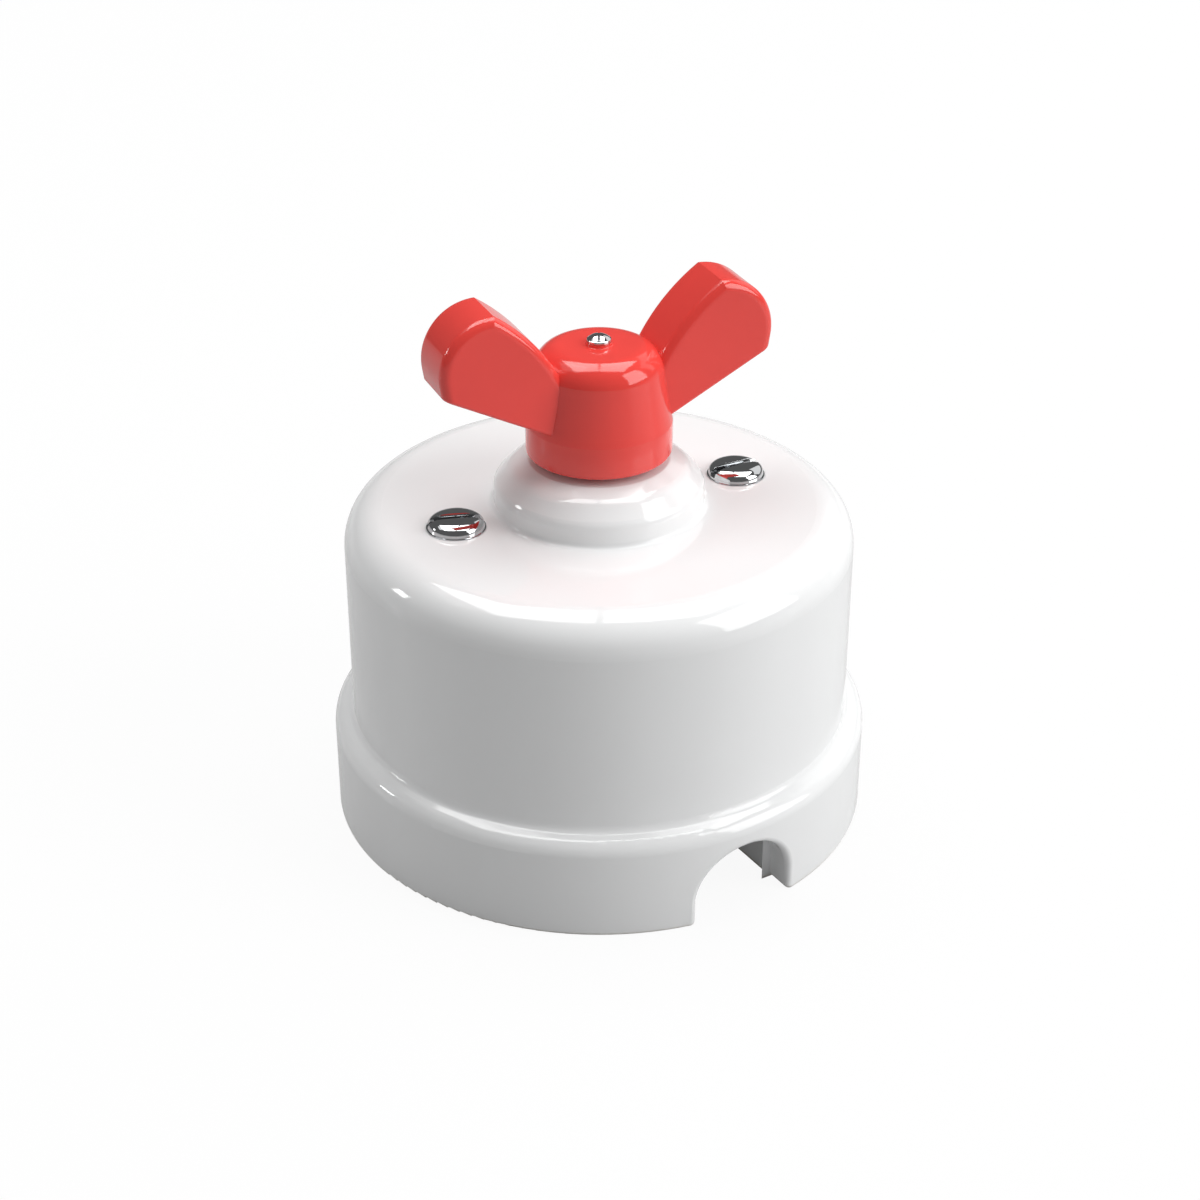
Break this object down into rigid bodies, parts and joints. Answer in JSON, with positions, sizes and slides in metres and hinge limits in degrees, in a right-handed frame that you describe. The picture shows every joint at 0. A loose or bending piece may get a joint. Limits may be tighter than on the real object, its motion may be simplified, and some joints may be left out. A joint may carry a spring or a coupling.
{
  "type": "porcelain rotary switch",
  "caption": "Surface-mounted rotary light switch: round white porcelain cover on a porcelain base, with a winged turning knob and a cable arch in the foot.",
  "frame": {"origin": "centre of the base's underside, on the spindle's axis, in the plane of the wall", "axes": "+Z out of the wall along the spindle, +X along the knob's wings at rest and over the cover screws, cable arch near -Y"},
  "size_m": [0.07, 0.07, 0.0711],
  "materials": {
    "porcelain": "glossy white glaze",
    "red_plastic": "glossy moulded",
    "chrome_plate": "polished plating",
    "brass": "turned",
    "zinc_steel": "zinc plated",
    "spring_steel": "rolled strip",
    "spring_bronze": "rolled strip",
    "rotor_plastic": "moulded thermoset"
  },
  "bodies": {
    "housing": {"cover": "porcelain", "base": "porcelain", "cover_screws": "chrome_plate", "cover_posts": "brass", "post_screws": "zinc_steel", "base_screws": "zinc_steel", "terminal_rear_right": "brass", "terminal_rear_left": "brass", "terminal_front_right": "brass", "terminal_front_left": "brass", "clamp_screws": "zinc_steel", "contact_leaf_rear_right": "spring_bronze", "contact_leaf_rear_left": "spring_bronze", "contact_leaf_front_right": "spring_bronze", "contact_leaf_front_left": "spring_bronze", "leaf_rivets": "brass", "yoke": "zinc_steel", "spindle_bush": "brass", "thrust_washer": "brass", "index_spring_rear": "spring_steel", "index_spring_front": "spring_steel"},
    "knob_assembly": {"knob": "red_plastic", "knob_insert": "brass", "knob_screw": "chrome_plate", "spindle": "zinc_steel", "retaining_clip": "spring_steel", "rotor": "rotor_plastic", "rotor_segment_right": "brass", "rotor_segment_left": "brass", "index_cam": "zinc_steel"}
  },
  "joints": [
    {"name": "knob_spin", "type": "hinge", "parent": "housing", "child": "knob_assembly", "pos_m": [0, 0, 0], "axis": [0, 0, 1], "continuous": true, "deforming": ["index_spring_rear", "index_spring_front"]}
  ]
}
